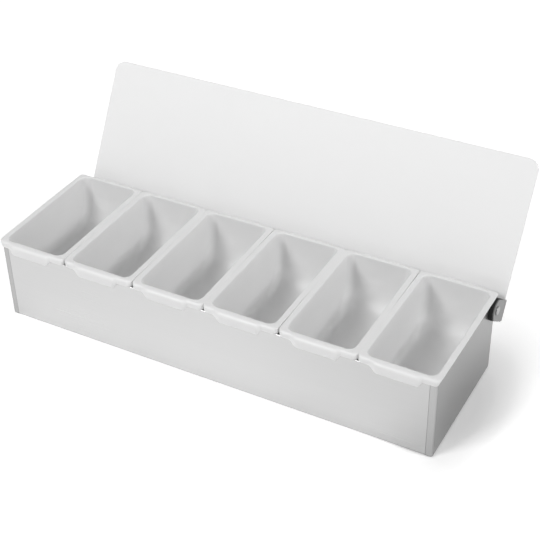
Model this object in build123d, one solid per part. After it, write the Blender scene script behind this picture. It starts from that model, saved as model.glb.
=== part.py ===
from build123d import *
import os
from math import asin, atan2, cos, degrees, hypot, radians, sin, sqrt, tan

# Condiment caddy: a folded steel housing, a row of lift-out tubs hung by their rims, and one
# long sheet lid on two side hinges, modelled open as it stands in use.
# Millimetres. Origin: middle of the housing's underside. +X along the row, +Y back, +Z up.

# ---- housing -------------------------------------------------------------------------------
housing_length = 485.0   # X, over the end panels
housing_depth = 148.7    # Y, over the front and back walls
housing_height = 87.3    # Z, to the top edge
sheet = 0.8              # thickness of the housing's steel
bend_radius = 2.0        # outer radius of every fold
flange_width = 7.0       # end panel's folded edge, seen on the front as a narrow upright strip
seam_gap = 0.15          # open joint between that strip and the wrap
lap_length = 5.5         # part of the wrap set back behind the strip, where the two are welded
lap_gap = 0.05           # between the lapped sheets
joggle_length = 1.5      # run of the step that sets the wrap back
hem_height = 8.0         # folded-over top edge of the front and back walls
hem_gap = 0.1            # inside the fold

# ---- tubs ----------------------------------------------------------------------------------
tub_count = 6
rim_overhang = 3.1       # end tubs' rims past the housing's ends
rim_gap = 0.5            # between neighbouring rims, at mid length where they come nearest
rim_bow = 0.65           # how far a rim's long sides draw in towards its ends
rim_lap = 0.9            # rim's extra depth past each of the front and back walls, on average
tub_shift = -0.7         # the row of tubs sits a little forward in the housing
rim_rise = 7.1           # rim's top above the seat
seat_gap = 0.15          # between a rim's lip and the housing's top edge
rim_side_band = 7.0      # rim's width beside the opening
rim_end_band = 5.2       # rim's width before and behind the opening
rim_corner = 5.5         # rim's outer corners, in plan
rim_top_wall = 1.8       # plastic over the channel under the rim
rim_edge_bevel = 2.6     # soft outer edge of the rim's top
rim_inner_bevel = 0.8    # softened edge of the opening
lip_wall = 2.6           # rim's down-turned lip, which sits on the housing's edge
tub_wall = 1.6
tub_depth = 65.0         # rim's top to the inside floor
tub_corner = 8.0         # inside corners, upright and along the floor
tub_sweep = 30.0         # inside radius from the front and rear walls into the floor
end_draft = 2.0          # degrees that the front and rear walls lean out
tab_foot = 40.0          # width of the finger tab's foot, at each end of a tub
tab_left_flare = 9.5     # how much wider the front tab is at its root, at its left
tab_right_flare = 4.5    # the same at its right; the rear tab is the front one turned about
tab_corner = 3.0         # rounding at its foot
tab_ledge = 1.0          # underside of the tab's root, above the lip's foot
tab_reach = 2.5          # tab's foot, outwards from the rim
tab_drop = 12.0          # tab's foot, below the rim's top
tab_wall = 1.7
tab_bend = 4.8           # outer radius over which the rim's top turns down into the tab

# ---- lid and hinges ------------------------------------------------------------------------
lid_overhang = 4.2       # sheet past each end of the housing
lid_thickness = 2.0
lid_corner = 12.0        # free corners
lid_foot_corner = 3.0    # corners below the hinges
lid_edge_bevel = 0.3
lid_reach = 149.2        # hinge axis to the free edge, along the sheet
lid_tail = 14.5          # hinge axis to the lower edge, along the sheet
lid_stand_off = 25.1     # hinge axis to the sheet's inner face, square to it
lid_lean = 30.12         # degrees that the open sheet leans back from upright
hinge_inset = 9.1        # hinge axis in front of the back wall's outer face
hinge_drop = 8.96        # hinge axis below the housing's top edge

bracket_sheet = 1.2
bracket_reach = 33.0     # plate under the sheet, inwards from the ear
bracket_high = 9.0       # plate's upper edge, above the hinge axis along the sheet
bracket_low = 13.0       # plate's lower edge, below the hinge axis along the sheet
bracket_bend = 1.0       # inner radius where the plate turns into the ear
ear_radius = 10.9        # ear's rounded end, about the hinge axis
ear_heel = 3.0           # ear's straight end, past the sheet's inner face
ear_heel_round = 1.5
ear_gap = 0.1            # ear to the sheet's edge, and ear to the bush

pin_radius = 2.5
pin_seat = 0.03          # radial, where the pin is fixed in the wall and the bush
pin_running = 0.06       # radial, where the ear turns on the pin
pin_head_radius = 4.5
pin_head_rise = 1.7
pin_head_edge = 0.6      # straight edge under its bevel
pin_tail_radius = 4.0
pin_tail_rise = 0.8

bush_radius = 11.2
bush_chamfer = 0.5
bush_top_gap = 0.3       # bush's flat top below the housing's top edge, clear of the rims

rivet_radius = 1.6
rivet_seat = 0.05        # radial, in the plate, the sheet and the washer
rivet_head_radius = 3.1
rivet_head_rise = 1.2
rivet_tail_radius = 2.4
rivet_tail_rise = 0.9
rivet_spacing = 15.0
rivet_edge = 12.0        # outer rivet, inwards from the sheet's edge
washer_radius = 4.6
washer_thickness = 0.8

# ---- places worked out from the sizes above --------------------------------------------------
half_length = housing_length / 2
half_depth = housing_depth / 2
wrap_end = half_length - flange_width - seam_gap
hem_width = 2 * sheet + hem_gap
hem_fold = housing_height - hem_width / 2

tub_pitch = (housing_length + 2 * rim_overhang + rim_gap) / tub_count
rim_width = tub_pitch - rim_gap
rim_depth = housing_depth + 2 * rim_lap
rim_foot = housing_height + seat_gap
rim_top = housing_height + rim_rise
opening_width = rim_width - 2 * rim_side_band
opening_depth = rim_depth - 2 * rim_end_band
tub_outer_bevel = (2 - sqrt(2)) * (tub_corner + tub_wall)   # keeps the wall outside the corners

hinge_y = half_depth - hinge_inset
hinge_z = housing_height - hinge_drop
lid_width = housing_length + 2 * lid_overhang
ear_inner = lid_width / 2 + ear_gap
ear_outer = ear_inner + bracket_sheet
sheet_face = -lid_stand_off                  # the lid's own frame: its z is zero on the hinge axis
sheet_back = sheet_face - lid_thickness
plate_face = sheet_face + bracket_sheet

# The lid's own frame: x along the axis, y up the sheet, z out of its inner face.
lid_frame = Plane(
    origin=(0, hinge_y, hinge_z),
    x_dir=(1, 0, 0),
    z_dir=(0, -cos(radians(lid_lean)), sin(radians(lid_lean))),
)


def along_x(section, low, high):
    """Run a section drawn in Y and Z along X, from low to high."""
    return extrude(Plane.YZ.offset(low) * section, amount=high - low, dir=(1, 0, 0))


# ---- housing -------------------------------------------------------------------------------
def trough(inset, top):
    """Section of the housing's inside or outside, inset from its outer surface and open at top."""
    width = housing_depth - 2 * inset
    outline = Pos(0, (top + inset) / 2) * Rectangle(width, top - inset)
    return fillet(outline.vertices().group_by(Axis.Y)[0], bend_radius - inset)


def folded_sheet(inset, thickness, top):
    """Section of a sheet folded up at the front and the back."""
    return trough(inset, top) - trough(inset + thickness, top + sheet)


def hem(side):
    """Section of the folded-over top edge: side is -1 at the front and 1 at the back."""
    place = side * (half_depth - hem_width / 2)
    leaf_middle = hem_fold - hem_height / 2
    leaves = Pos(place, leaf_middle) * Rectangle(hem_width, hem_height)
    fold = Pos(place, hem_fold) * Circle(hem_width / 2)
    gap = Pos(place, leaf_middle) * Rectangle(hem_gap, hem_height)
    return leaves + fold - gap


def housing_wrap():
    """Front wall, floor and back wall in one folded sheet, set back at its ends for the lap."""
    walls = folded_sheet(0, sheet, hem_fold) + hem(-1) + hem(1)
    wrap = along_x(walls, -wrap_end, wrap_end)
    set_back = sheet + lap_gap
    step = folded_sheet(0, set_back + sheet, hem_fold)
    tongue = folded_sheet(set_back, sheet, hem_fold)
    for side in (-1, 1):
        step_start = side * (wrap_end - joggle_length)
        tongue_end = side * (wrap_end + lap_length)
        wrap += along_x(step, min(step_start, side * wrap_end), max(step_start, side * wrap_end))
        wrap += along_x(tongue, min(side * wrap_end, tongue_end), max(side * wrap_end, tongue_end))
    return wrap


def pan_block(inset):
    """Block of the right end panel's outside or inside, its outer edges rounded by the folds."""
    low = half_length - flange_width - 2 * inset
    block = along_x(trough(inset, housing_height + inset), low, half_length - inset)
    outer_face = block.faces().sort_by(Axis.X)[-1]
    folds = outer_face.edges().sort_by(Axis.Z)[:-1]
    return fillet(folds, 0.98 * (bend_radius - inset))


def end_panel():
    """Right end panel: a pan whose edges fold inwards and lie flush with the wrap."""
    panel = pan_block(0) - pan_block(sheet)
    hole = Circle(pin_radius + pin_seat)
    return panel - along_x(Pos(hinge_y, hinge_z) * hole, half_length - 2 * sheet, half_length + 1)


# ---- tubs ----------------------------------------------------------------------------------
def tub_form(grow, top):
    """Block with flat sides and its ends swept into the floor: the tub's inside, grown by a wall."""
    floor = rim_top - tub_depth - grow
    slope = tan(radians(end_draft))
    end_top = opening_depth / 2 + grow + (top - rim_top) * slope
    end_foot = opening_depth / 2 + grow + (floor - rim_top) * slope
    section = make_face(
        Polyline((-end_top, top), (-end_foot, floor), (end_foot, floor), (end_top, top), close=True)
    )
    section = fillet(section.vertices().group_by(Axis.Y)[0], tub_sweep + grow)
    half_width = opening_width / 2 + grow
    return along_x(section, -half_width, half_width)


def side_creases(form, top):
    """Edges of a tub form's two flat sides, without the top ones."""
    sides = form.faces().filter_by(Axis.X)
    return [edge for side in sides for edge in side.edges() if edge.center().Z < top - 0.1]


def rim_outline(inset):
    """Plan of the rim: long sides bowed outwards, ends straight, corners rounded."""
    x_middle = rim_width / 2 - inset
    x_end = x_middle - rim_bow
    y_end = rim_depth / 2 - inset
    right = ThreePointArc((x_end, -y_end), (x_middle, 0), (x_end, y_end))
    rear = Line((x_end, y_end), (-x_end, y_end))
    left = ThreePointArc((-x_end, y_end), (-x_middle, 0), (-x_end, -y_end))
    front = Line((-x_end, -y_end), (x_end, -y_end))
    outline = make_face(right + rear + left + front)
    return fillet(outline.vertices(), rim_corner - inset)


def rim_block():
    """The rim with its softened top edge, and the channel under it that leaves the lip."""
    block = extrude(Pos(0, 0, rim_foot) * rim_outline(0), amount=rim_top - rim_foot)
    block = chamfer(block.faces().sort_by(Axis.Z)[-1].edges(), rim_edge_bevel)
    channel = extrude(
        Pos(0, 0, rim_foot - 1) * rim_outline(lip_wall), amount=rim_top - rim_top_wall - rim_foot + 1
    )
    return block - channel


def finger_tab():
    """Front finger tab: the rim's top turned down and out over the wall, with flared ends."""
    face_y = -rim_depth / 2
    foot_y = face_y - tab_reach
    foot_z = rim_top - tab_drop
    root_y = face_y + lip_wall
    ledge_z = rim_foot + tab_ledge
    skin = make_face(
        Polyline(
            (root_y, ledge_z),
            (foot_y + tab_wall, ledge_z),
            (foot_y + tab_wall, foot_z),
            (foot_y, foot_z),
            (foot_y, rim_top),
            (root_y, rim_top),
            close=True,
        )
    )
    skin = fillet(skin.vertices().sort_by_distance((foot_y, rim_top))[0], tab_bend)

    half_foot = tab_foot / 2
    left = -half_foot - tab_left_flare
    right = half_foot + tab_right_flare
    shape = make_face(
        Polyline(
            (left, rim_top + 1),
            (left, ledge_z),
            (-half_foot, foot_z),
            (half_foot, foot_z),
            (right, ledge_z),
            (right, rim_top + 1),
            close=True,
        )
    )
    shape = fillet(shape.vertices().group_by(Axis.Y)[0], tab_corner)
    return along_x(skin, left, right) & extrude(Plane.XZ * shape, amount=rim_depth)


def tub():
    """One lift-out tub, centred on its own opening."""
    outer_top = rim_top - rim_top_wall / 2
    outside = tub_form(tub_wall, outer_top)
    outside = chamfer(side_creases(outside, outer_top), tub_outer_bevel)
    inner_top = rim_top + 2
    inside = tub_form(0, inner_top)
    inside = fillet(side_creases(inside, inner_top), tub_corner)

    front_tab = finger_tab()
    tabs = front_tab + Rot(0, 0, 180) * front_tab
    shell = outside + rim_block() + tabs - inside
    rim_face = shell.faces().filter_by(Axis.Z).group_by(Axis.Z)[-1].sort_by(SortBy.AREA)[-1]
    return chamfer(rim_face.inner_wires()[0].edges(), rim_inner_bevel)


# ---- lid and hinges, in the lid's own frame --------------------------------------------------
def rivet_places():
    """The right bracket's rivets, as places in the lid's frame."""
    outer = lid_width / 2 - rivet_edge
    middle = (bracket_high - bracket_low) / 2
    return [Pos(outer, middle, 0), Pos(outer - rivet_spacing, middle, 0)]


def rivet_holes():
    """Cutters for both brackets' rivets."""
    height = lid_thickness + bracket_sheet + 2
    hole = Pos(0, 0, sheet_back - 1) * Cylinder(
        rivet_radius + rivet_seat, height, align=(Align.CENTER, Align.CENTER, Align.MIN)
    )
    right = [place * hole for place in rivet_places()]
    return right + [mirror(cutter, about=Plane.YZ) for cutter in right]


def lid_sheet():
    """The one long sheet, with its free corners rounded."""
    middle = (lid_reach - lid_tail) / 2
    outline = Pos(0, middle) * Rectangle(lid_width, lid_reach + lid_tail)
    outline = fillet(outline.vertices().group_by(Axis.Y)[-1], lid_corner)
    outline = fillet(outline.vertices().group_by(Axis.Y)[0], lid_foot_corner)
    blank = extrude(Pos(0, 0, sheet_back) * outline, amount=lid_thickness)
    return chamfer(blank.faces().filter_by(Axis.Z).edges(), lid_edge_bevel) - rivet_holes()


def hinge_bracket():
    """Right bracket: a plate on the sheet's inner face, turned into an ear outside its edge."""
    plate_start = ear_outer - bracket_reach
    bend_end = plate_face + 3 * bracket_bend
    angle = make_face(
        Polyline(
            (plate_start, sheet_face),
            (ear_outer, sheet_face),
            (ear_outer, bend_end),
            (ear_inner, bend_end),
            (ear_inner, plate_face),
            (plate_start, plate_face),
            close=True,
        )
    )
    corner = angle.vertices().sort_by_distance((ear_inner, plate_face))[0]
    angle = fillet(corner, bracket_bend)
    plate = Pos(0, bracket_high, 0) * extrude(
        Plane.XZ * angle, amount=bracket_high + bracket_low
    )

    heel = sheet_face - ear_heel
    straight = Line((-bracket_low, heel), (bracket_high, heel))
    outline = make_hull(Circle(ear_radius).edges() + [straight])
    heel_corners = outline.vertices().group_by(Axis.Y)[0]
    outline = fillet(heel_corners, ear_heel_round) - Circle(pin_radius + pin_running)
    return plate + along_x(outline, ear_inner, ear_outer) - rivet_holes()


def fastener(head_radius, head_foot, head_rise, outline):
    """Solid turned about Z: a bevelled head over head_foot, then (radius, z) points to the axis."""
    crown_z = head_foot + head_rise
    profile = Polyline(
        (0, crown_z),
        (head_radius - head_rise, crown_z),
        (head_radius, head_foot),
        *outline,
        (0, crown_z),
    )
    return revolve(Plane.XZ * make_face(profile), axis=Axis.Z)


def pivot_pin():
    """Right hinge pin: low head inside the wall, bevelled head outside the ear."""
    wall = half_length - sheet
    tail = wall - pin_tail_rise
    seat = ear_outer + ear_gap
    pin = fastener(
        pin_head_radius,
        seat + pin_head_edge,
        pin_head_rise - pin_head_edge,
        [
            (pin_head_radius, seat),
            (pin_radius, seat),
            (pin_radius, wall),
            (pin_tail_radius, wall),
            (pin_tail_radius, tail),
            (0, tail),
        ],
    )
    return Pos(0, hinge_y, hinge_z) * Rot(0, 90, 0) * pin


def hinge_bush():
    """Right bush: a black disc between wall and ear, cut flat on top to clear the tub's rim."""
    flat = hinge_drop - bush_top_gap
    disc = Circle(bush_radius) & Pos(0, flat - bush_radius) * Rectangle(
        2 * bush_radius, 2 * bush_radius
    )
    disc -= Circle(pin_radius + pin_seat)
    bush = along_x(Pos(hinge_y, hinge_z) * disc, half_length, ear_inner - ear_gap)
    outer_edges = bush.faces().sort_by(Axis.X)[-1].outer_wire().edges()
    return chamfer(outer_edges, bush_chamfer)


def rivet():
    """One rivet on the Z axis: its head on the plate, set over the washer behind the sheet."""
    washer_back = sheet_back - washer_thickness
    tail = washer_back - rivet_tail_rise
    return fastener(
        rivet_head_radius,
        plate_face,
        rivet_head_rise,
        [
            (rivet_radius, plate_face),
            (rivet_radius, washer_back),
            (rivet_tail_radius, washer_back),
            (rivet_tail_radius - rivet_tail_rise / 3, tail),
            (0, tail),
        ],
    )


def lid_rivets():
    """The right bracket's rivets."""
    one = rivet()
    return Compound([(place * one).solid() for place in rivet_places()])


def lid_washers():
    """The washers behind the sheet, under the right bracket's rivets."""
    ring = Circle(washer_radius) - Circle(rivet_radius + rivet_seat)
    one = extrude(Pos(0, 0, sheet_back - washer_thickness) * ring, amount=washer_thickness)
    return Compound([(place * one).solid() for place in rivet_places()])


# ---- the whole object ------------------------------------------------------------------------
def pair(name, right):
    """A right-hand piece and its mirror image at the left, as two named nodes."""
    return {name + "_right": right, name + "_left": mirror(right, about=Plane.YZ)}


def all_nodes():
    """Every node of the object, by name, in its place."""
    nodes = {"housing_wrap": housing_wrap()}
    nodes.update(pair("end_panel", end_panel()))
    nodes.update(pair("pivot_pin", pivot_pin()))
    nodes.update(pair("hinge_bush", hinge_bush()))

    one_tub = tub()
    for number in range(tub_count):
        place = (number - (tub_count - 1) / 2) * tub_pitch
        nodes[f"tub_{number + 1}"] = Pos(place, tub_shift, 0) * one_tub

    lid = {"lid_sheet": lid_sheet()}
    lid.update(pair("hinge_bracket", hinge_bracket()))
    lid.update(pair("lid_rivets", lid_rivets()))
    lid.update(pair("lid_washers", lid_washers()))
    for name, piece in lid.items():
        nodes[name] = lid_frame * piece
    return nodes


def closed_turn():
    """Degrees from the open pose to the closed one, the sheet resting just over the front rims."""
    rest_y = tub_shift - rim_depth / 2 + rim_edge_bevel
    forward = hinge_y - rest_y
    up = rim_top + 2 * seat_gap - hinge_z
    slope = degrees(asin(lid_stand_off / hypot(forward, up)) - atan2(up, forward))
    return 90 + slope + lid_lean


os.makedirs("parts", exist_ok=True)
for node, shape in all_nodes().items():
    export_step(shape, f"parts/{node}.step")
print(f"hinge axis at y {hinge_y:.2f}, z {hinge_z:.2f}; closes by {closed_turn():.2f} degrees")
print(f"tub pitch {tub_pitch:.3f}, opening {opening_width:.2f} x {opening_depth:.2f}, rim top {rim_top:.2f}")
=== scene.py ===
"""Condiment caddy: a brushed steel housing, six lift-out tubs and one milky lid on two side hinges.

Everything is in metres, in the caddy's own frame: the origin is the middle of the housing's
underside, +X runs along the row of tubs, +Y points to the hinges at the back and +Z up.
"""

from __future__ import annotations

import logging
import math
from collections.abc import Sequence
from dataclasses import dataclass
from enum import Enum

import bmesh
import bpy
import numpy as np
from mathutils import Matrix, Vector


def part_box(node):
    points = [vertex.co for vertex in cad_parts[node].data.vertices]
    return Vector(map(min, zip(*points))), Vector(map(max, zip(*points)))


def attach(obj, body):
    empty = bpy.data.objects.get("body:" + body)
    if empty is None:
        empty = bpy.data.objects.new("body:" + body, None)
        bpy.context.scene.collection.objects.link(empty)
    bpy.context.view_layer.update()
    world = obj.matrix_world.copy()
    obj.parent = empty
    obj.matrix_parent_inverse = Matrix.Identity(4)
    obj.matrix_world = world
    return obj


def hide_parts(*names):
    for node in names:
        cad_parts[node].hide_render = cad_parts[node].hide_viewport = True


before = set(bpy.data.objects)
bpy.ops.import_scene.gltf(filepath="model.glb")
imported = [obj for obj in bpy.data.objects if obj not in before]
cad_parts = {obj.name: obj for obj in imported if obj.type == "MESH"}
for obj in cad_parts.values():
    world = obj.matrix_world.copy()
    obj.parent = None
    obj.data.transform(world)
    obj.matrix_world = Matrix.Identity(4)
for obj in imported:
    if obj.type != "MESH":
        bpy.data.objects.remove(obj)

MM = 0.001
MERGE_DISTANCE = 2e-6
SLIVER_EDGE = 1e-6
BLACK = (0, 0, 0, 1)
WHITE = (1, 1, 1, 1)
LOG = logging.getLogger("caddy")


# ---- shader maths ----------------------------------------------------------------------------
class Socket:
    """One output of a node tree, with Python operators that add Math nodes."""

    def __init__(self, tree: NodeTree, output: bpy.types.NodeSocket) -> None:
        """Wrap an output.

        Args:
            tree: the tree that the output belongs to.
            output: the node's output socket.
        """
        self.tree = tree
        self.output = output

    def _maths(self, operation: str, first: Input, second: Input) -> Socket:
        """One Math node on two values."""
        return self.tree.node("ShaderNodeMath", {"operation": operation}, {0: first, 1: second})[0]

    def __add__(self, other: Input) -> Socket:
        """Sum."""
        return self._maths("ADD", self, other)

    __radd__ = __add__

    def __sub__(self, other: Input) -> Socket:
        """Difference."""
        return self._maths("SUBTRACT", self, other)

    def __rsub__(self, other: Input) -> Socket:
        """Difference, from the other side."""
        return self._maths("SUBTRACT", other, self)

    def __mul__(self, other: Input) -> Socket:
        """Product."""
        return self._maths("MULTIPLY", self, other)

    __rmul__ = __mul__

    def __abs__(self) -> Socket:
        """Size without the sign."""
        return self._maths("ABSOLUTE", self, 0.0)

    def larger(self, other: Input) -> Socket:
        """The larger of two values."""
        return self._maths("MAXIMUM", self, other)


Input = Socket | float | tuple
Stops = Sequence[tuple[float, float]]


class NodeTree:
    """A material's node tree, built by one method that adds any node."""

    def __init__(self, name: str) -> None:
        """Start a material with a Principled shader on its output.

        Args:
            name: the material's name.
        """
        self.material = bpy.data.materials.new(name)
        self.material.use_nodes = True
        self.nodes = self.material.node_tree.nodes
        self.links = self.material.node_tree.links
        self.shader = self.nodes["Principled BSDF"]

    @classmethod
    def of_world(cls, world: bpy.types.World) -> NodeTree:
        """The tree of a world, with no material of its own.

        Args:
            world: a world that uses nodes.

        Returns:
            Its tree.
        """
        tree = cls.__new__(cls)
        tree.nodes = world.node_tree.nodes
        tree.links = world.node_tree.links
        return tree

    def seen_directly(self) -> Socket:
        """1 for a camera, glossy or transmission ray, and 0 for light on a dull surface."""
        path = self.node("ShaderNodeLightPath", {}, {})
        camera, glossy, through = path[0], path[3], path[6]
        return camera.larger(glossy).larger(through)

    def node(self, kind: str, settings: dict, inputs: dict) -> list[Socket]:
        """Add one node.

        Args:
            kind: the node's type.
            settings: its properties, set first. "stops" holds a ramp's (position, grey) pairs.
            inputs: a value or a Socket for each of its inputs, by name or number.

        Returns:
            The node's outputs.
        """
        node = self.nodes.new(kind)
        for key, value in settings.items():
            if key == "stops":
                self._set_stops(node.color_ramp, value)
            else:
                setattr(node, key, value)
        for key, value in inputs.items():
            self.feed(node.inputs[key], value)
        return [Socket(self, output) for output in node.outputs]

    @staticmethod
    def _set_stops(ramp: bpy.types.ColorRamp, stops: Stops) -> None:
        """Give a ramp grey stops.

        Args:
            ramp: a new ramp.
            stops: (position, grey) pairs, in order.
        """
        while len(ramp.elements) < len(stops):
            ramp.elements.new(0.5)
        for element, (position, grey) in zip(ramp.elements, stops):
            element.position = position
            element.color = (grey, grey, grey, 1)

    def feed(self, target: bpy.types.NodeSocket, value: Input) -> None:
        """Link a Socket to an input, or set the input's own value.

        Args:
            target: the node's input.
            value: a Socket, or a constant of the input's kind.
        """
        if isinstance(value, Socket):
            self.links.new(value.output, target)
        else:
            target.default_value = value

    def object_point(self) -> Socket:
        """The surface point in the piece's own coordinates, in metres."""
        return self.node("ShaderNodeTexCoord", {}, {})[3]

    def object_coordinates(self, scale: tuple[float, float, float]) -> Socket:
        """The surface point in the caddy's frame, in metres.

        Args:
            scale: what it is multiplied by along each axis.

        Returns:
            The scaled point.
        """
        inputs = {"Vector": self.object_point(), "Scale": scale}
        return self.node("ShaderNodeMapping", {}, inputs)[0]

    def noise(self, scale: tuple[float, float, float], detail: float = 2.0) -> Socket:
        """Smooth noise from 0 to 1.

        Args:
            scale: waves per metre along each axis.
            detail: how many finer layers it has.

        Returns:
            The noise.
        """
        point = self.object_coordinates(scale)
        inputs = {"Vector": point, "Scale": 1.0, "Detail": detail}
        return self.node("ShaderNodeTexNoise", {}, inputs)[0]

    def position(self) -> list[Socket]:
        """The surface point's x, y and z in the caddy's frame, in metres."""
        point = self.object_coordinates((1.0, 1.0, 1.0))
        return self.node("ShaderNodeSeparateXYZ", {}, {0: point})

    def vector_maths(self, operation: str, vector: Input, other: Input = (0, 0, 0)) -> list[Socket]:
        """Add one Vector Math node.

        Args:
            operation: what it does.
            vector: its first vector.
            other: its second vector, where the operation takes one.

        Returns:
            Its vector and its value, of which an operation fills one.
        """
        inputs = {0: vector, 1: other}
        return self.node("ShaderNodeVectorMath", {"operation": operation}, inputs)

    def ramp(self, stops: Stops, factor: Socket) -> Socket:
        """A grey that runs straight between (position, grey) stops."""
        return self.node("ShaderNodeValToRGB", {"stops": stops}, {0: factor})[0]

    def grey_mix(self, dark: float, light: float, factor: Socket) -> Socket:
        """A grey between two levels, as a colour."""
        return self.ramp([(0.0, dark), (1.0, light)], factor)

    def colour_mix(self, first: Input, second: Input, factor: Socket) -> Socket:
        """A colour between two.

        Args:
            first: the colour at factor 0.
            second: the colour at factor 1.
            factor: from 0 to 1.

        Returns:
            The mixed colour.
        """
        inputs = {0: factor, 6: first, 7: second}
        return self.node("ShaderNodeMix", {"data_type": "RGBA"}, inputs)[2]

    def ease(self, value: Socket, start: float, stop: float) -> Socket:
        """0 up to start, 1 from stop on, and a smooth step between.

        Args:
            value: what is compared with start and stop.
            start: where the step begins.
            stop: where it ends.

        Returns:
            The eased value.
        """
        inputs = {"Value": value, "From Min": start, "From Max": stop}
        return self.node("ShaderNodeMapRange", {"interpolation_type": "SMOOTHSTEP"}, inputs)[0]

    def bump(self, height: Socket, distance: float, strength: float) -> None:
        """Feed the shader's normal from a height.

        Args:
            height: the relief, from 0 to 1.
            distance: its height in metres.
            strength: how much of it shows.
        """
        inputs = {"Height": height, "Distance": distance, "Strength": strength}
        normal = self.node("ShaderNodeBump", {}, inputs)[0]
        self.feed(self.shader.inputs["Normal"], normal)

    def set(self, **values: Input) -> None:
        """Set or link the shader's inputs; an underscore in a name stands for a space."""
        for key, value in values.items():
            self.feed(self.shader.inputs[key.replace("_", " ")], value)


# ---- finishes --------------------------------------------------------------------------------
class Grain(Enum):
    """Which way a sheet's brushing runs."""

    ALONG_ROW = (1.2, 90.0, 2600.0)
    UPRIGHT = (2600.0, 2600.0, 1.2)


@dataclass(frozen=True)
class Brushing:
    """The uneven sheen and the fine scratches of brushed steel."""

    grain: Grain
    roughness: float
    cloud_scale: tuple[float, float, float] = (9.0, 9.0, 9.0)
    streak_sheen: float = 0.10
    cloud_sheen: float = 0.06
    scratch_depth: float = 0.00001

    def apply(self, tree: NodeTree) -> tuple[Socket, Socket]:
        """Make a tree's shader a brushed metal.

        Args:
            tree: the material's tree.

        Returns:
            The streaks and the broad clouds, each from 0 to 1.
        """
        streaks = tree.noise(self.grain.value, detail=3.0)
        clouds = tree.noise(self.cloud_scale, detail=1.0)
        uneven = self.streak_sheen * (streaks - 0.5) + self.cloud_sheen * (clouds - 0.5)
        tree.set(Metallic=1.0, Roughness=self.roughness + uneven)
        tree.bump(streaks, self.scratch_depth, strength=0.5)
        return streaks, clouds


@dataclass(frozen=True)
class BrushedSteel:
    """Stainless steel with a fine brushed grain.

    The grey fades to the right by a share of itself, up to an end along X: painted shade for the
    key lamp's light falling off towards the right end. A dark line runs along the foot of the front
    and back walls, a painted contact shadow where they meet the floor; the walls are told from the
    floor by their distance along Y.
    """

    name: str
    grey: float
    spread: float
    brushing: Brushing
    streak_share: float = 0.75
    right_shade: float = 0.0
    right_shade_end: float = 0.24
    foot: float = 0.0022
    contact_shadow_dark: float = 0.55
    contact_shadow_place: tuple[float, float] = (0.0710, 0.0735)

    def make(self) -> bpy.types.Material:
        """Build the material: grain under broad clouds, painted shade towards the right end and a
        painted contact shadow at the foot.
        """
        tree = NodeTree(self.name)
        streaks, clouds = self.brushing.apply(tree)
        tone = self.streak_share * streaks + (1.0 - self.streak_share) * clouds
        steel = tree.grey_mix(self.grey - self.spread, self.grey + self.spread, tone)
        x, y, z = tree.position()
        # Painted contact shadow: a dark line at the foot of the front and back walls, where they
        # meet the floor.
        foot = tree.ease(abs(y), *self.contact_shadow_place) * (1.0 - tree.ease(z, 0.0, self.foot))
        # Painted shade: the grey darkens towards the right end, standing in for the key lamp's
        # light falling off.
        right_shade_factor = 1.0 - self.right_shade * tree.ease(x, 0.0, self.right_shade_end)
        light = (1.0 - self.contact_shadow_dark * foot) * right_shade_factor
        tree.set(Base_Color=tree.colour_mix(BLACK, steel, light))
        return tree.material


@dataclass(frozen=True)
class PanelSteel:
    """Stainless steel of the end panels, with paler strips folded round the corners.

    Across the fold the grey follows the fold's greys: pairs of a distance from the caddy's middle
    plane along Y, in metres, and a grey. These greys paint light and shade: the side is dark as a
    painted reflection of the shaded floor, a dip at the bend is painted shade, and the strips that
    face the front are paler as lit faces. The strip ends in a dark seam at seam_x, and the dark
    foot is a painted contact shadow.
    """

    name: str
    spread: float
    brushing: Brushing
    fold_shade_greys: Stops
    fold_scale: float = 10.0
    seam_x: float = 0.2355
    seam_width: float = 0.0006
    seam_dark: float = 0.25
    streak_weight: float = 1.4
    cloud_weight: float = 0.6
    foot: float = 0.0024
    contact_shadow_dark: float = 0.5

    def make(self) -> bpy.types.Material:
        """Build the material: grain, the folded strips with their painted light and shade, the seam
        and the painted contact shadow at the foot.
        """
        tree = NodeTree(self.name)
        streaks, clouds = self.brushing.apply(tree)
        x, y, z = tree.position()
        # Painted light and shade across the fold: a dark side as a painted reflection of the shaded
        # floor, a painted shade line on the bend and paler lit strips on the front.
        stops = [(self.fold_scale * place, grey) for place, grey in self.fold_shade_greys]
        folded = tree.ramp(stops, self.fold_scale * abs(y))
        past_seam = tree.ease(abs(x), self.seam_x, self.seam_x + self.seam_width)
        seam = 1.0 - self.seam_dark * (1.0 - past_seam)
        # Painted contact shadow: darker at the foot, where the panel meets the floor.
        foot = 1.0 - self.contact_shadow_dark * (1.0 - tree.ease(z, 0.0, self.foot))
        tone = self.streak_weight * streaks + self.cloud_weight * clouds
        grain = 1.0 + self.spread * (tone - 1.0)
        tree.set(Base_Color=tree.colour_mix(BLACK, WHITE, folded * grain * seam * foot))
        return tree.material


@dataclass(frozen=True)
class MouldedPlastic:
    """White moulded plastic with a soft sheen and a faint orange peel."""

    name: str
    grey: float
    roughness: float
    spread: float = 0.012
    peel_depth: float = 0.00002

    def make(self) -> bpy.types.Material:
        """Build the material: slight mottling in colour and roughness over a fine bump."""
        tree = NodeTree(self.name)
        mottle = tree.noise((60.0, 60.0, 60.0), detail=3.0)
        peel = tree.noise((900.0, 900.0, 900.0), detail=1.0)
        tree.set(
            Base_Color=tree.grey_mix(self.grey - self.spread, self.grey + self.spread, mottle),
            Roughness=self.roughness + 0.08 * (mottle - 0.5),
        )
        tree.bump(peel, self.peel_depth, strength=0.25)
        return tree.material


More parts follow.
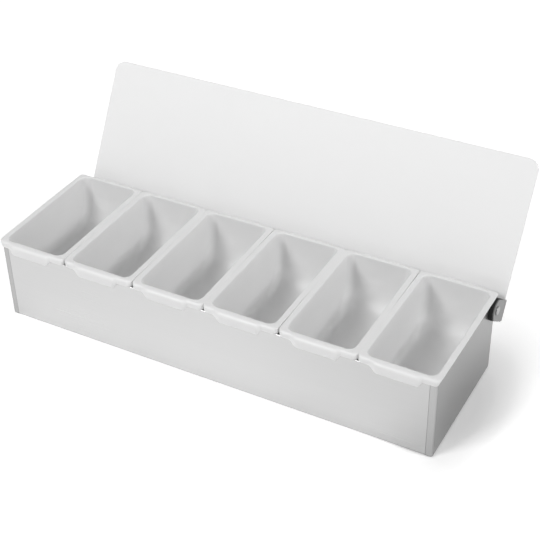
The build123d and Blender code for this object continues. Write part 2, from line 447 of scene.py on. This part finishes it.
@dataclass(frozen=True)
class MilkySheet:
    """Milky plastic sheet with smooth faces that lets some light through."""

    name: str
    grey: float
    roughness: float
    through: float
    spread: float = 0.008

    def make(self) -> bpy.types.Material:
        """Build the material: a white sheet, partly see-through, with faint handling marks."""
        tree = NodeTree(self.name)
        marks = tree.noise((30.0, 30.0, 30.0), detail=4.0)
        tree.set(
            Base_Color=tree.grey_mix(self.grey - self.spread, self.grey + self.spread, marks),
            Roughness=self.roughness + 0.06 * (marks - 0.5),
            Alpha=1.0 - self.through,
        )
        return tree.material


@dataclass(frozen=True)
class BlackPlastic:
    """Satin black plastic."""

    name: str
    roughness: float
    darkest: float = 0.006
    palest: float = 0.012
    grain_depth: float = 0.00002

    def make(self) -> bpy.types.Material:
        """Build the material: near black, with a slightly uneven sheen."""
        tree = NodeTree(self.name)
        uneven = tree.noise((500.0, 500.0, 500.0), detail=2.0)
        tree.set(
            Base_Color=tree.grey_mix(self.darkest, self.palest, uneven),
            Roughness=self.roughness + 0.1 * (uneven - 0.5),
            Specular_IOR_Level=0.3,
        )
        tree.bump(uneven, self.grain_depth, strength=0.3)
        return tree.material


# ---- mesh helpers ----------------------------------------------------------------------------
def grid_faces(rows: int, around: int) -> np.ndarray:
    """Quads of a grid that closes around: face (i, j) joins rows i, i + 1 and columns j, j + 1.

    Args:
        rows: number of rings.
        around: points in each ring.

    Returns:
        An array of (rows - 1) * around quads.
    """
    i, j = np.meshgrid(np.arange(rows - 1), np.arange(around), indexing="ij")
    after = (j + 1) % around
    this_ring, next_ring = i * around, (i + 1) * around
    corners = [this_ring + j, this_ring + after, next_ring + after, next_ring + j]
    return np.stack(corners, axis=-1).reshape(-1, 4)


def build_piece(name: str, rings: np.ndarray, material: bpy.types.Material) -> bpy.types.Object:
    """A closed piece from a stack of rings, with its first and last ring capped.

    Args:
        name: the piece's name.
        rings: (rings, around, 3) points in metres.
        material: its finish.

    Returns:
        The new object.
    """
    count, around = rings.shape[:2]
    faces = grid_faces(count, around).tolist()
    faces.append(list(range(around))[::-1])
    faces.append(list(range((count - 1) * around, count * around)))
    mesh = bpy.data.meshes.new(name)
    mesh.from_pydata(rings.reshape(-1, 3).tolist(), [], faces)
    piece = bpy.data.objects.new(name, mesh)
    bpy.context.scene.collection.objects.link(piece)
    finish_mesh(mesh)
    mesh.materials.append(material)
    return piece


def finish_mesh(mesh: bpy.types.Mesh) -> None:
    """Merge doubles, drop flat slivers, turn faces outwards and shade smooth.

    Args:
        mesh: the mesh, which is changed.
    """
    work = bmesh.new()
    work.from_mesh(mesh)
    bmesh.ops.remove_doubles(work, verts=work.verts, dist=MERGE_DISTANCE)
    bmesh.ops.dissolve_degenerate(work, edges=work.edges, dist=SLIVER_EDGE)
    bmesh.ops.recalc_face_normals(work, faces=work.faces)
    work.to_mesh(mesh)
    work.free()
    mesh.polygons.foreach_set("use_smooth", np.ones(len(mesh.polygons), bool))


def arc(start: float, stop: float, steps: int) -> tuple[np.ndarray, np.ndarray]:
    """Cosines and sines of evenly spaced angles.

    Args:
        start: first angle, in degrees.
        stop: last angle.
        steps: how many angles.

    Returns:
        The cosines and the sines.
    """
    angle = np.radians(np.linspace(start, stop, steps))
    return np.cos(angle), np.sin(angle)


def inner_shares(steps: int) -> np.ndarray:
    """Even shares of a straight run, without its ends."""
    return np.linspace(0, 1, steps + 2)[1:-1]


# ---- tubs ------------------------------------------------------------------------------------
@dataclass
class Tub:
    """One lift-out tub. Sizes in millimetres, as on a maker's drawing; meshes are in metres.

    The shape is one stack of closed rings that share their points around: from the middle of the
    floor up the inside wall, over the rim, round its down-turned lip and finger tabs, back under
    the rim and down the outside wall to the underside.
    """

    number: int
    centre_x: float
    centre_y: float
    rim_width: float
    rim_depth: float
    rim_top: float = 94.4
    rim_foot: float = 87.45
    side_band: float = 7.0
    end_band: float = 5.2
    rim_bow: float = 0.15
    rim_grow: float = 0.24
    rim_corner: float = 5.5
    side_round: float = 0.35
    end_round: float = 3.3
    yaw: float = 0.0
    edge_round: float = 0.8
    channel_top: float = 92.6
    lip_wall: float = 2.6
    foot_round: float = 0.5
    foot_flat: float = 0.8
    lean_left: float = 0.0
    lean_right: float = 0.0
    lean_thinning: float = 0.4
    wall: float = 1.6
    depth: float = 65.0
    corner: float = 8.0
    mouth_flare: float = 1.1
    mouth_height: float = 14.0
    sweep: float = 44.0
    draft: float = 2.0
    tab_foot: float = 40.0
    tab_left_flare: float = 9.5
    tab_right_flare: float = 4.5
    tab_reach: float = 2.5
    tab_drop: float = 12.0
    tab_wall: float = 1.7
    tab_bend: float = 4.8
    tab_ledge: float = 0.8
    ledge_end: float = 0.3
    end_steps: int = 64
    corner_steps: int = 12
    side_steps: int = 28
    mouth_steps: int = 7
    wall_steps: int = 4
    arc_steps: int = 60
    sweep_stride: int = 4
    crease_stride: int = 5
    crease_gap: float = 1.05
    edge_steps: int = 6
    flat_steps: int = 5
    roll_steps: int = 8
    lip_foot_steps: int = 4
    lip_under_steps: int = 6
    tab_foot_steps: int = 6

    def _close_ring(self, front: np.ndarray, corner: np.ndarray, side: np.ndarray) -> np.ndarray:
        """A whole ring; its left and rear are the given runs mirrored, in order.

        Args:
            front: the front run, (..., points, 2), as the others are.
            corner: the front right corner.
            side: the right side.

        Returns:
            The ring's points, counter-clockwise from the front left.
        """
        flip_x = np.array([-1.0, 1.0])
        flip_y = np.array([1.0, -1.0])
        rear_corner = (corner * flip_y)[..., ::-1, :]
        rear = (front * flip_y)[..., ::-1, :]
        left = side * flip_x
        return np.concatenate(
            [
                front,
                corner,
                side,
                rear_corner,
                rear,
                (rear_corner * flip_x)[..., ::-1, :],
                left[..., ::-1, :],
                (corner * flip_x)[..., ::-1, :],
            ],
            axis=-2,
        )

    def opening_ring(self, grow: float) -> np.ndarray:
        """Plan of the opening's edge, a rectangle with rounded corners.

        Args:
            grow: how far it is moved outwards.

        Returns:
            An array of (points around, 2).
        """
        half_x = self.rim_width / 2 - self.side_band + self.mouth_flare
        half_y = self.rim_depth / 2 - self.end_band
        corner_x = half_x - self.corner
        corner_y = half_y - self.corner
        share = inner_shares(self.end_steps)
        front_x = corner_x * (2 * share - 1)
        front = np.stack([front_x, np.full_like(front_x, -half_y - grow)], axis=-1)
        cosine, sine = arc(-90, 0, self.corner_steps)
        radius = self.corner + grow
        corner = np.stack([corner_x + radius * cosine, -corner_y + radius * sine], axis=-1)
        share = inner_shares(self.side_steps)
        side_y = corner_y * (2 * share - 1)
        side = np.stack([np.full_like(side_y, half_x + grow), side_y], axis=-1)
        return self._close_ring(front, corner, side)

    def rim_ring(self) -> tuple[np.ndarray, np.ndarray]:
        """Plan of the rim's outer edge.

        The long sides bow outwards by rim_bow: x = half width - bow * (y / half depth)^2.

        Returns:
            The edge's points and its outward normals, each (points around, 2).
        """
        half_x = self.rim_width / 2 + self.rim_grow
        half_y = self.rim_depth / 2
        radius = self.rim_corner
        corner_x = half_x - self.rim_bow - radius
        corner_y = half_y - radius
        share = inner_shares(self.end_steps)
        front_x = corner_x * (2 * share - 1)
        front = np.stack([front_x, np.full_like(front_x, -half_y)], axis=-1)
        cosine, sine = arc(-90, 0, self.corner_steps)
        corner = np.stack([corner_x + radius * cosine, -corner_y + radius * sine], axis=-1)
        share = inner_shares(self.side_steps)
        side_y = corner_y * (2 * share - 1)
        bow = self.rim_bow * (1 - (side_y / corner_y) ** 2)
        side = np.stack([half_x - self.rim_bow + bow, side_y], axis=-1)

        front_normal = np.stack([np.zeros_like(front_x), np.full_like(front_x, -1.0)], axis=-1)
        corner_normal = np.stack([cosine, sine], axis=-1)
        side_normal = np.stack([np.ones_like(side_y), np.zeros_like(side_y)], axis=-1)
        return (
            self._close_ring(front, corner, side),
            self._close_ring(front_normal, corner_normal, side_normal),
        )

    def well_rings(self, heights: np.ndarray, grow: float) -> np.ndarray:
        """Level rings of the tub's form.

        The form is a block whose end walls lean out by the draft and sweep into the floor on a
        large arc, with its side creases rounded. Its rounding insets the end profile by d where the
        crease has turned through phi: d = R (1 - cos phi), while x moves out by R sin phi. Near the
        mouth the flat sides ease outwards by flare * s^2, s being the share of the mouth's height.

        Args:
            heights: each ring's height above the form's own floor.
            grow: how far the form stands outside the tub's inner face.

        Returns:
            An array of (heights, points around, 3).
        """
        radius = self.corner + grow
        sweep = self.sweep + grow
        floor = self.rim_top - self.depth - grow
        lean = math.radians(self.draft)
        half_x = self.rim_width / 2 - self.side_band + grow
        half_y = self.rim_depth / 2 - self.end_band + grow
        corner_x = half_x - radius

        def wall_y(z: np.ndarray | float) -> np.ndarray | float:
            """Inside face of the leaning end wall."""
            return half_y + (z - self.rim_top) * math.tan(lean)

        centre_z = floor + sweep
        centre_y = wall_y(centre_z) - sweep / math.cos(lean)

        def end_y(z: np.ndarray, inset: np.ndarray) -> np.ndarray:
            """End profile at height z, inset along its normal."""
            left = sweep - inset
            tangent_z = centre_z - left * math.sin(lean)
            swept = centre_y + np.sqrt(np.clip(left**2 - (centre_z - z) ** 2, 0, None))
            return np.where(z > tangent_z, wall_y(z) - inset / math.cos(lean), swept)

        z = (floor + heights)[:, None]
        share = np.clip((z - self.rim_top + self.mouth_height) / self.mouth_height, 0, 1)
        corner_x = corner_x + self.mouth_flare * share**2
        turn = np.arccos(1 - np.clip(heights, 0, radius) / radius)[:, None]
        phi = turn * np.linspace(0, 1, self.corner_steps)[None, :]
        inset = radius * (1 - np.cos(phi))
        corner = np.stack([corner_x + radius * np.sin(phi), -end_y(z, inset)], axis=-1)

        share = inner_shares(self.end_steps)[None, :]
        front_x = corner_x * (2 * share - 1) + 0 * z
        front = np.stack([front_x, -end_y(z, 0 * front_x)], axis=-1)
        share = inner_shares(self.side_steps)[None, :]
        side_end = -corner[:, -1:, 1]
        side_y = side_end * (2 * share - 1)
        side = np.stack([corner[:, -1:, 0] + 0 * side_y, side_y], axis=-1)
        ring = self._close_ring(front, corner, side)
        level = np.broadcast_to(z[:, :, None], ring.shape[:2] + (1,))
        return np.concatenate([ring, level], axis=-1)

    def heights(self, radius: float, sweep: float, top: float) -> np.ndarray:
        """Heights above the floor for level rings, close together where the form curves.

        Args:
            radius: the side creases' radius.
            sweep: the end walls' radius into the floor.
            top: the highest ring.

        Returns:
            The heights, from the top down.
        """
        flare_foot = top - self.mouth_height
        mouth = np.linspace(top, flare_foot, self.mouth_steps)[:-1]
        wall = np.linspace(flare_foot, sweep, self.wall_steps)[:-1]
        _, sines = arc(90, 0, self.arc_steps)
        steps = 1 - np.sqrt(1 - sines**2)
        swept = sweep * steps[:: self.sweep_stride]
        swept = swept[swept > radius * self.crease_gap]
        rounded = radius * steps[:: self.crease_stride]
        return np.concatenate([mouth, wall, swept, rounded, [0.0]])

    def tab_weight(self, ring: np.ndarray) -> np.ndarray:
        """How far each point around belongs to a finger tab.

        Along each flare it eases in as 3 t^2 - 2 t^3. The rear tab is the front one turned half
        round.

        Args:
            ring: plan of the rim's outer edge.

        Returns:
            A weight from 0 to 1 for each point around.
        """
        toward_front = np.where(ring[:, 1] < 0, 1.0, -1.0)
        x = ring[:, 0] * toward_front
        half = self.tab_foot / 2
        left = np.clip((x + half + self.tab_left_flare) / self.tab_left_flare, 0, 1)
        right = np.clip((half + self.tab_right_flare - x) / self.tab_right_flare, 0, 1)
        share = np.minimum(left, right)
        eased = share**2 * (3 - 2 * share)
        at_end = np.abs(ring[:, 1]) > self.rim_depth / 2 - self.rim_corner
        return np.where(at_end, eased, 0.0)

    def lip_profile(self, normal: np.ndarray) -> np.ndarray:
        """(out, z) points of the plain rim's edge, from its top round to the foot's inside.

        The short ends are rolled. A lip may lean inwards on a long side, and is thinner there.

        Args:
            normal: for each point around, the rim's outward direction.

        Returns:
            An array of (profile points, points around, 2).
        """
        cosine, sine = arc(90, 0, self.roll_steps)
        end_share = normal[:, 1] ** 2
        lean = np.where(normal[:, 0] > 0, self.lean_right, self.lean_left) * (1 - end_share)
        radius = self.side_round + (self.end_round - self.side_round) * end_share
        out = radius * (cosine - 1)[:, None]
        z = self.rim_top - radius * (1 - sine)[:, None]
        foot_cos, foot_sin = arc(0, -90, self.lip_foot_steps)
        under = np.linspace(0, 1, self.lip_under_steps)[:, None]
        wall = self.lip_wall - self.lean_thinning * lean
        rounded = self.foot_round * (foot_cos - 1)[:, None] + 0 * wall
        flat = -self.foot_flat - (wall - self.foot_flat) * under
        foot_out = np.concatenate([rounded, flat]) - lean
        foot_rise = np.concatenate([self.foot_round * (1 + foot_sin)[:, None], 0 * under])
        foot_z = foot_rise + self.rim_foot
        foot = np.stack([foot_out, foot_z + 0 * foot_out], axis=-1)
        return np.concatenate([np.stack([out, z], axis=-1), foot])

    def tab_profile(self) -> np.ndarray:
        """(out, z) points of the rim's edge at a finger tab, as many as in lip_profile."""
        cosine, sine = arc(90, 0, self.roll_steps)
        out = self.tab_reach + self.tab_bend * (cosine - 1)
        z = self.rim_top - self.tab_bend * (1 - sine)
        foot = self.rim_top - self.tab_drop
        foot_round = self.tab_wall / 2
        foot_cos, foot_sin = arc(0, -180, self.tab_foot_steps)
        foot_out = self.tab_reach + foot_round * (foot_cos - 1)
        foot_z = foot + foot_round * (1 + foot_sin)
        back = self.tab_reach - self.tab_wall
        ledge = self.rim_foot + self.tab_ledge
        out = np.concatenate([out, foot_out, [back, 0.0, -self.ledge_end, -self.lip_wall]])
        z = np.concatenate([z, foot_z, [ledge, ledge, self.rim_foot, self.rim_foot]])
        return np.stack([out, z], axis=-1)

    def edge_rings(self) -> np.ndarray:
        """Rings round the rim's outer edge, easing between the plain lip and the finger tabs."""
        ring, normal = self.rim_ring()
        weight = self.tab_weight(ring)[None, :]
        lip = self.lip_profile(normal)
        tab = self.tab_profile()[:, None, :]
        mixed = lip * (1 - weight[..., None]) + tab * weight[..., None]
        plan = ring[None, :, :] + normal[None, :, :] * mixed[..., :1]
        return np.concatenate([plan, mixed[..., 1:]], axis=-1)

    def rings(self) -> np.ndarray:
        """All rings, (rings, around, 3), from the inside floor to the underside, in millimetres."""
        inner_top = self.depth - self.edge_round
        inner = self.well_rings(self.heights(self.corner, self.sweep, inner_top), 0.0)[::-1]

        cosine, sine = arc(0, 90, self.edge_steps)
        edge = []
        for grow, drop in zip(self.edge_round * (1 - cosine[1:]), self.edge_round * (1 - sine[1:])):
            plan = self.opening_ring(grow)
            level = np.full((len(plan), 1), self.rim_top - drop)
            edge.append(np.concatenate([plan, level], axis=1))
        edge = np.stack(edge)

        outside = self.edge_rings()
        share = inner_shares(self.flat_steps)[:, None, None]
        flat = edge[-1][None] * (1 - share) + outside[0][None] * share

        ring, normal = self.rim_ring()
        level = np.full((len(ring), 1), self.channel_top)
        roof = np.concatenate([ring - normal * self.lip_wall, level], axis=1)[None]
        outer_top = self.channel_top - (self.rim_top - self.depth - self.wall)
        heights = self.heights(self.corner + self.wall, self.sweep + self.wall, outer_top)
        outer = self.well_rings(heights, self.wall)
        return np.concatenate([inner, edge, flat, outside, roof, outer])

    def build(self, material: bpy.types.Material) -> bpy.types.Object:
        """Make the tub's piece, which moves with its own body and stands for its CAD node.

        Args:
            material: its finish.

        Returns:
            The new object.
        """
        turn = math.radians(self.yaw)
        plan = np.array([[math.cos(turn), math.sin(turn)], [-math.sin(turn), math.cos(turn)]])
        rings = self.rings()
        rings[..., :2] = rings[..., :2] @ plan
        placed = (rings + np.array([self.centre_x, self.centre_y, 0.0])) * MM
        node = f"tub_{self.number}"
        piece = build_piece(f"{node}_shell", placed, material)
        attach(piece, node)
        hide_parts(node)
        LOG.info("%s: %d faces", piece.name, len(piece.data.polygons))
        return piece


@dataclass
class TubRow:
    """The row of six tubs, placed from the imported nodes' boxes, each a hair out of square."""

    yaws: tuple[float, ...] = (0.0, 0.0, 0.16, -0.20, 0.20, -0.24)
    turning_room: float = 0.2
    outer_lean: float = 2.5
    plastic: MouldedPlastic = MouldedPlastic("tub_plastic", 0.80, 0.38)

    def build(self) -> list[bpy.types.Object]:
        """Make every tub."""
        material = self.plastic.make()
        pieces = []
        for number, yaw in enumerate(self.yaws, start=1):
            low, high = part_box(f"tub_{number}")
            middle = (low + high) / 2 / MM
            tub = Tub(
                number=number,
                centre_x=middle.x,
                centre_y=middle.y,
                rim_width=(high.x - low.x) / MM,
                rim_depth=(high.y - low.y) / MM - 2 * Tub.tab_reach - self.turning_room,
                rim_top=high.z / MM,
                yaw=yaw,
                lean_left=self.outer_lean if number == 1 else 0.0,
                lean_right=self.outer_lean if number == len(self.yaws) else 0.0,
            )
            pieces.append(tub.build(material))
        return pieces


# ---- housing, lid and hinges -----------------------------------------------------------------
@dataclass
class Housing:
    """The steel box: its CAD nodes with a brushed finish."""

    # The wrap's steel is painted darker towards its right end, as shade for the key lamp's light
    # falling off.
    wrap_steel: BrushedSteel = BrushedSteel(
        "wrap_steel", 0.535, 0.03, Brushing(Grain.ALONG_ROW, 0.30), right_shade=0.12
    )
    # Painted light and shade in the end panels' greys: about 0.33 on the side as a darker
    # reflection of the shaded floor, a shade line of 0.22 on the bend, and paler lit strips of 0.35
    # to 0.41 on the front.
    shaded_panel_steel: PanelSteel = PanelSteel(
        "shaded_panel_steel",
        0.06,
        Brushing(Grain.UPRIGHT, 0.34),
        (
            (0.0000, 0.325),
            (0.0500, 0.335),
            (0.0706, 0.335),
            (0.0713, 0.22),
            (0.0720, 0.32),
            (0.0736, 0.35),
            (0.0742, 0.41),
        ),
    )

    def dress(self) -> None:
        """Give the wrap and the end panels their steel."""
        paint(["housing_wrap"], self.wrap_steel.make())
        paint(both("end_panel"), self.shaded_panel_steel.make())


@dataclass
class Lid:
    """The milky sheet with its brackets and washers, and the bushes beside the brackets."""

    sheet: MilkySheet = MilkySheet("lid_sheet", 0.94, 0.45, 0.12)
    # Painted shade: the brackets' grey is far below the wrap's, as if their faces reflected the
    # shaded floor.
    bracket_steel: BrushedSteel = BrushedSteel(
        "bracket_steel", 0.16, 0.04, Brushing(Grain.UPRIGHT, 0.32)
    )
    washer_steel: BrushedSteel = BrushedSteel(
        "washer_steel", 0.45, 0.04, Brushing(Grain.UPRIGHT, 0.34)
    )
    bush: BlackPlastic = BlackPlastic("bush_plastic", 0.55)

    def dress(self) -> None:
        """Give the lid's and the hinges' nodes their finishes."""
        paint(["lid_sheet"], self.sheet.make())
        paint(both("hinge_bracket"), self.bracket_steel.make())
        paint(both("lid_washers"), self.washer_steel.make())
        paint(both("hinge_bush"), self.bush.make())


@dataclass(frozen=True)
class Dome:
    """A domed end of a fastener, in millimetres: its foot is a place along the fastener's axis.

    A dome of radius R and rise h over a straight edge e is the ellipse
    z = e + (h - e) sqrt(1 - (r / R)^2).
    """

    radius: float
    foot: float
    rise: float
    edge: float
    crown_start: float = 1.5
    steps: int = 14

    def profile(self, toward: float) -> np.ndarray:
        """Half the dome's section, from the crown out to the foot.

        Args:
            toward: +1 where it rises along the axis, or -1.

        Returns:
            An array of (radius, place along the axis) points.
        """
        cosine, sine = arc(self.crown_start, 90, self.steps)
        height = self.edge + (self.rise - self.edge) * cosine
        crown = np.stack([self.radius * sine, self.foot + toward * height], axis=-1)
        return np.concatenate([crown, [[self.radius, self.foot]]])


@dataclass(frozen=True)
class Fastener:
    """A pin or rivet turned about its own axis: a domed head, a shank and a domed tail."""

    middle: Vector
    axis: Vector
    head: Dome
    tail: Dome
    shank_radius: float
    around: int = 64

    def rings(self) -> np.ndarray:
        """Rings from the tail's crown to the head's, (rings, around, 3), in millimetres."""
        shank = [[self.shank_radius, self.tail.foot], [self.shank_radius, self.head.foot]]
        profile = np.concatenate([self.tail.profile(-1.0), shank, self.head.profile(1.0)[::-1]])
        along = self.axis.normalized()
        side = along.orthogonal().normalized()
        other = along.cross(side)
        turn = np.linspace(0, 2 * np.pi, self.around, endpoint=False)
        spoke = np.outer(np.cos(turn), side) + np.outer(np.sin(turn), other)
        rings = profile[:, :1, None] * spoke[None] + profile[:, 1:, None] * np.array(along)
        return rings + np.array(self.middle)

    def build(
        self, name: str, body: str, node: str, material: bpy.types.Material
    ) -> bpy.types.Object:
        """Make the fastener's piece, which moves with a body and stands for a CAD node.

        Args:
            name: the piece's name.
            body: the CAD body that it moves with.
            node: the CAD node that it stands for.
            material: its finish.

        Returns:
            The new object.
        """
        piece = build_piece(name, self.rings() * MM, material)
        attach(piece, body)
        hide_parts(node)
        LOG.info("%s: %d faces", piece.name, len(piece.data.polygons))
        return piece


@dataclass
class HingeHardware:
    """The pivot pins and the brackets' rivets, placed by the hinge axis and the lid's lean.

    Sizes are in millimetres and the lean is in degrees.
    """

    steel: BrushedSteel = BrushedSteel("pin_steel", 0.36, 0.04, Brushing(Grain.UPRIGHT, 0.36))
    axis_y: float = 65.25
    axis_z: float = 78.34
    lean: float = 30.12
    pin_head: Dome = Dome(radius=4.5, foot=248.1, rise=1.7, edge=0.35)
    pin_tail: Dome = Dome(radius=4.0, foot=241.7, rise=0.8, edge=0.35)
    pin_radius: float = 2.5
    rivet_head: Dome = Dome(radius=3.1, foot=-23.9, rise=1.2, edge=0.2)
    rivet_tail: Dome = Dome(radius=2.4, foot=-27.9, rise=0.9, edge=0.2)
    rivet_radius: float = 1.6
    rivet_x: tuple[float, float] = (234.7, 219.7)
    rivet_up: float = -2.0

    def build(self) -> list[bpy.types.Object]:
        """Make both sides' pins and rivets."""
        material = self.steel.make()
        lean = math.radians(self.lean)
        out = Vector((0.0, -math.cos(lean), math.sin(lean)))
        up = Vector((0.0, math.sin(lean), math.cos(lean)))
        middle = Vector((0.0, self.axis_y, self.axis_z))
        pieces = []
        for side, hand in ((-1, "left"), (1, "right")):
            along = Vector((side, 0.0, 0.0))
            pin = Fastener(middle, along, self.pin_head, self.pin_tail, self.pin_radius)
            node = f"pivot_pin_{hand}"
            pieces.append(pin.build(f"{node}_turned", "housing", node, material))
            for number, x in enumerate(self.rivet_x, start=1):
                place = middle + up * self.rivet_up + along * x
                rivet = Fastener(place, out, self.rivet_head, self.rivet_tail, self.rivet_radius)
                name = f"lid_rivet_{hand}_{number}"
                pieces.append(rivet.build(name, "lid", f"lid_rivets_{hand}", material))
        return pieces


def both(name: str) -> list[str]:
    """The left and right nodes of a pair."""
    return [name + "_left", name + "_right"]


def paint(nodes: list[str], material: bpy.types.Material) -> None:
    """Give some CAD nodes a material.

    Args:
        nodes: the nodes' names.
        material: their finish.
    """
    for node in nodes:
        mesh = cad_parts[node].data
        mesh.materials.clear()
        mesh.materials.append(material)
        LOG.info("%s: %s", node, material.name)


# ---- studio ----------------------------------------------------------------------------------
@dataclass
class Camera:
    """The photograph's viewpoint, solved from the housing's and the lid's corners."""

    place: tuple[float, float, float] = (0.52439, -0.87667, 0.82279)
    right: tuple[float, float, float] = (0.8791, 0.47625, -0.01922)
    down: tuple[float, float, float] = (0.26482, -0.52154, -0.81109)
    lens: float = 83.52
    sensor: float = 36.0

    def build(self) -> bpy.types.Object:
        """Make the camera and set it as the scene's."""
        data = bpy.data.cameras.new("camera")
        data.sensor_width = self.sensor
        data.lens = self.lens
        camera = bpy.data.objects.new("camera", data)
        bpy.context.scene.collection.objects.link(camera)
        right = Vector(self.right).normalized()
        back = right.cross(-Vector(self.down)).normalized()
        up = back.cross(right)
        turn = Matrix((right, up, back)).transposed().to_4x4()
        camera.matrix_world = Matrix.Translation(self.place) @ turn
        bpy.context.scene.camera = camera
        return camera


@dataclass(frozen=True)
class Lamp:
    """A rectangular soft lamp that points at the caddy. Its power is in watts."""

    name: str
    place: tuple[float, float, float]
    size: tuple[float, float]
    power: float
    target: tuple[float, float, float] = (0.0, 0.0, 0.05)

    def build(self) -> bpy.types.Object:
        """Make the lamp."""
        data = bpy.data.lights.new(self.name, "AREA")
        data.shape = "RECTANGLE"
        data.size, data.size_y = self.size
        data.energy = self.power
        lamp = bpy.data.objects.new(self.name, data)
        bpy.context.scene.collection.objects.link(lamp)
        aim = Vector(self.target) - Vector(self.place)
        turn = aim.to_track_quat("-Z", "Y").to_matrix().to_4x4()
        lamp.matrix_world = Matrix.Translation(self.place) @ turn
        return lamp


@dataclass
class Studio:
    """A white floor and an even surround, with three soft lamps.

    The floor's glow grows with the distance from the shaded place beside the right end panel, so
    that the floor there shows a painted shadow on top of the lamps' own: the pairs in glow are a
    share of shade_reach and a strength. Far from the caddy, where the lamps' light falls off,
    far_glow is added.
    """

    floor_half: float = 3.0
    floor_white: float = 0.90
    shade_middle: tuple[float, float] = (0.240, 0.0)
    shade_reach: tuple[float, float] = (0.080, 0.192)
    # Low glow near the middle paints the shadow beside the right end panel.
    glow: Stops = (
        (0.19, 0.00),
        (0.31, 0.05),
        (0.41, 0.13),
        (0.52, 0.21),
        (0.62, 0.32),
        (0.72, 0.39),
        (0.85, 0.46),
        (1.0, 0.52),
    )
    far_reach: tuple[float, float] = (0.8, 2.0)
    far_glow: float = 0.45
    ambient: float = 0.30
    lamps: tuple[Lamp, ...] = (
        Lamp("key", (-1.0, -1.85, 1.9), (0.9, 0.9), 34.0),
        Lamp("right_fill", (2.42, 0.12, 2.0), (0.6, 0.6), 35.0),
        Lamp("low_front", (0.4, -2.8, 0.70), (0.4, 0.3), 3.6),
    )

    def build(self) -> None:
        """Make the floor, the surround and the lamps."""
        bpy.context.scene.view_settings.view_transform = "Standard"
        self._floor()
        self._surround()
        for lamp in self.lamps:
            lamp.build()

    def _floor(self) -> None:
        """A big plane under the caddy, which looks white from the camera but keeps shadows."""
        half = self.floor_half
        mesh = bpy.data.meshes.new("floor")
        corners = [(-half, -half, 0), (half, -half, 0), (half, half, 0), (-half, half, 0)]
        mesh.from_pydata(corners, [], [(0, 1, 2, 3)])
        floor = bpy.data.objects.new("floor", mesh)
        bpy.context.scene.collection.objects.link(floor)
        mesh.materials.append(self._floor_paper())

    def _floor_paper(self) -> bpy.types.Material:
        """The floor's material: white paper with the glow that the camera sees."""
        tree = NodeTree("floor_paper")
        white = (self.floor_white, self.floor_white, self.floor_white, 1)
        point = tree.object_point()
        # Painted shadow: the glow is held low near the right end panel, so the floor there is
        # darker than the lamps alone make it.
        offset = tree.vector_maths("SUBTRACT", point, (*self.shade_middle, 0.0))[0]
        share = tree.vector_maths("DIVIDE", offset, (*self.shade_reach, 1.0))[0]
        near = tree.ramp(self.glow, tree.vector_maths("LENGTH", share)[1])
        far = tree.ease(tree.vector_maths("LENGTH", point)[1], *self.far_reach)
        light = tree.seen_directly() * (near + self.far_glow * far)
        tree.set(
            Base_Color=white,
            Roughness=1.0,
            Specular_IOR_Level=0.0,
            Emission_Strength=1.0,
            Emission_Color=tree.colour_mix(BLACK, WHITE, light),
        )
        return tree.material

    def _surround(self) -> None:
        """A world that is white where it is seen, and an even ambient light elsewhere."""
        world = bpy.data.worlds.new("surround")
        world.use_nodes = True
        bpy.context.scene.world = world
        tree = NodeTree.of_world(world)
        seen = tree.seen_directly()
        background = tree.nodes["Background"]
        tree.feed(background.inputs["Color"], WHITE)
        tree.feed(background.inputs["Strength"], seen + (1.0 - seen) * self.ambient)


def main() -> None:
    logging.basicConfig(level=logging.INFO, format="%(name)s %(message)s")
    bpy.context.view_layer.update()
    Camera().build()
    Studio().build()
    Housing().dress()
    Lid().dress()
    HingeHardware().build()
    TubRow().build()
    bpy.context.view_layer.update()


if __name__ == "__main__":
    main()
